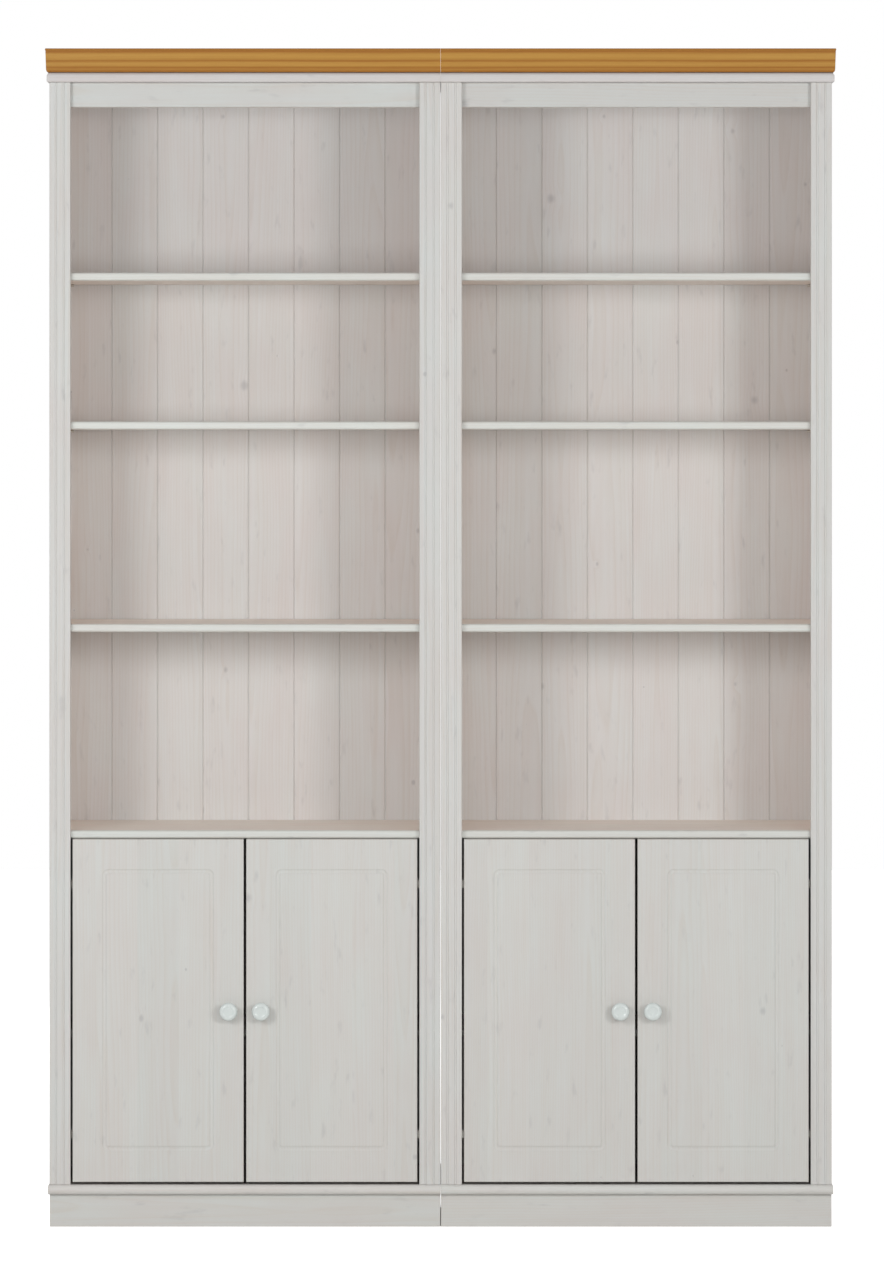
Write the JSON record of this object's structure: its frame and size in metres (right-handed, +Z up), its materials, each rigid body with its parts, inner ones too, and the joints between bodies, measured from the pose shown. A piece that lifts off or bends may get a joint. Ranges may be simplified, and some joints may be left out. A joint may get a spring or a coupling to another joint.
{
  "type": "wall unit",
  "caption": "Tall double bookcase wall unit with open shelves above doors on concealed hinges, fluted stiles, a tongue-and-groove back and a mitred crown.",
  "frame": {"origin": "centre of the footprint of the whole unit, on the floor", "axes": "+X to the right seen from the front, +Y from the front to the back, +Z up"},
  "size_m": [1.3748, 0.3558, 2.0502],
  "materials": {
    "white_glazed_pine": "thin white glaze over pine, silky",
    "honey_pine": "honey-coloured stain, silky",
    "white_lacquer": "gloss white lacquer over turned wood",
    "nickel_plated_steel": "nickel plated"
  },
  "bodies": {
    "cabinet": {"left_back": "white_glazed_pine", "left_bottom_board": "white_glazed_pine", "left_crown_front": "honey_pine", "left_crown_return": "honey_pine", "left_cupboard_shelf": "white_glazed_pine", "left_header_rail": "white_glazed_pine", "left_inner_door_lower_hinge_arm": "nickel_plated_steel", "left_inner_door_upper_hinge_arm": "nickel_plated_steel", "left_inner_side": "white_glazed_pine", "left_inner_stile": "white_glazed_pine", "left_middle_shelf": "white_glazed_pine", "left_outer_door_lower_hinge_arm": "nickel_plated_steel", "left_outer_door_upper_hinge_arm": "nickel_plated_steel", "left_outer_side": "white_glazed_pine", "left_outer_stile": "white_glazed_pine", "left_plinth_front": "white_glazed_pine", "left_plinth_inner": "white_glazed_pine", "left_plinth_outer": "white_glazed_pine", "left_second_shelf": "white_glazed_pine", "left_third_shelf": "white_glazed_pine", "left_top_board": "white_glazed_pine", "left_top_shelf": "white_glazed_pine", "right_back": "white_glazed_pine", "right_bottom_board": "white_glazed_pine", "right_crown_front": "honey_pine", "right_crown_return": "honey_pine", "right_cupboard_shelf": "white_glazed_pine", "right_header_rail": "white_glazed_pine", "right_inner_door_lower_hinge_arm": "nickel_plated_steel", "right_inner_door_upper_hinge_arm": "nickel_plated_steel", "right_inner_side": "white_glazed_pine", "right_inner_stile": "white_glazed_pine", "right_middle_shelf": "white_glazed_pine", "right_outer_door_lower_hinge_arm": "nickel_plated_steel", "right_outer_door_upper_hinge_arm": "nickel_plated_steel", "right_outer_side": "white_glazed_pine", "right_outer_stile": "white_glazed_pine", "right_plinth_front": "white_glazed_pine", "right_plinth_inner": "white_glazed_pine", "right_plinth_outer": "white_glazed_pine", "right_second_shelf": "white_glazed_pine", "right_third_shelf": "white_glazed_pine", "right_top_board": "white_glazed_pine", "right_top_shelf": "white_glazed_pine"},
    "left_outer_door": {"left_outer_door": "white_glazed_pine", "left_outer_knob": "white_lacquer", "left_outer_door_lower_hinge_cup": "nickel_plated_steel", "left_outer_door_upper_hinge_cup": "nickel_plated_steel"},
    "left_inner_door": {"left_inner_door": "white_glazed_pine", "left_inner_knob": "white_lacquer", "left_inner_door_lower_hinge_cup": "nickel_plated_steel", "left_inner_door_upper_hinge_cup": "nickel_plated_steel"},
    "right_outer_door": {"right_outer_door": "white_glazed_pine", "right_outer_knob": "white_lacquer", "right_outer_door_lower_hinge_cup": "nickel_plated_steel", "right_outer_door_upper_hinge_cup": "nickel_plated_steel"},
    "right_inner_door": {"right_inner_door": "white_glazed_pine", "right_inner_knob": "white_lacquer", "right_inner_door_lower_hinge_cup": "nickel_plated_steel", "right_inner_door_upper_hinge_cup": "nickel_plated_steel"}
  },
  "joints": [
    {"name": "left_outer_door_hinge", "type": "hinge", "parent": "cabinet", "child": "left_outer_door", "pos_m": [-0.61815, -0.1414, 0.078], "axis": [0, 0, -1], "range_deg": [0, 95]},
    {"name": "left_inner_door_hinge", "type": "hinge", "parent": "cabinet", "child": "left_inner_door", "pos_m": [-0.06305, -0.1414, 0.078], "axis": [0, 0, 1], "range_deg": [0, 95]},
    {"name": "right_outer_door_hinge", "type": "hinge", "parent": "cabinet", "child": "right_outer_door", "pos_m": [0.61815, -0.1414, 0.078], "axis": [0, 0, 1], "range_deg": [0, 95]},
    {"name": "right_inner_door_hinge", "type": "hinge", "parent": "cabinet", "child": "right_inner_door", "pos_m": [0.06305, -0.1414, 0.078], "axis": [0, 0, -1], "range_deg": [0, 95]}
  ]
}
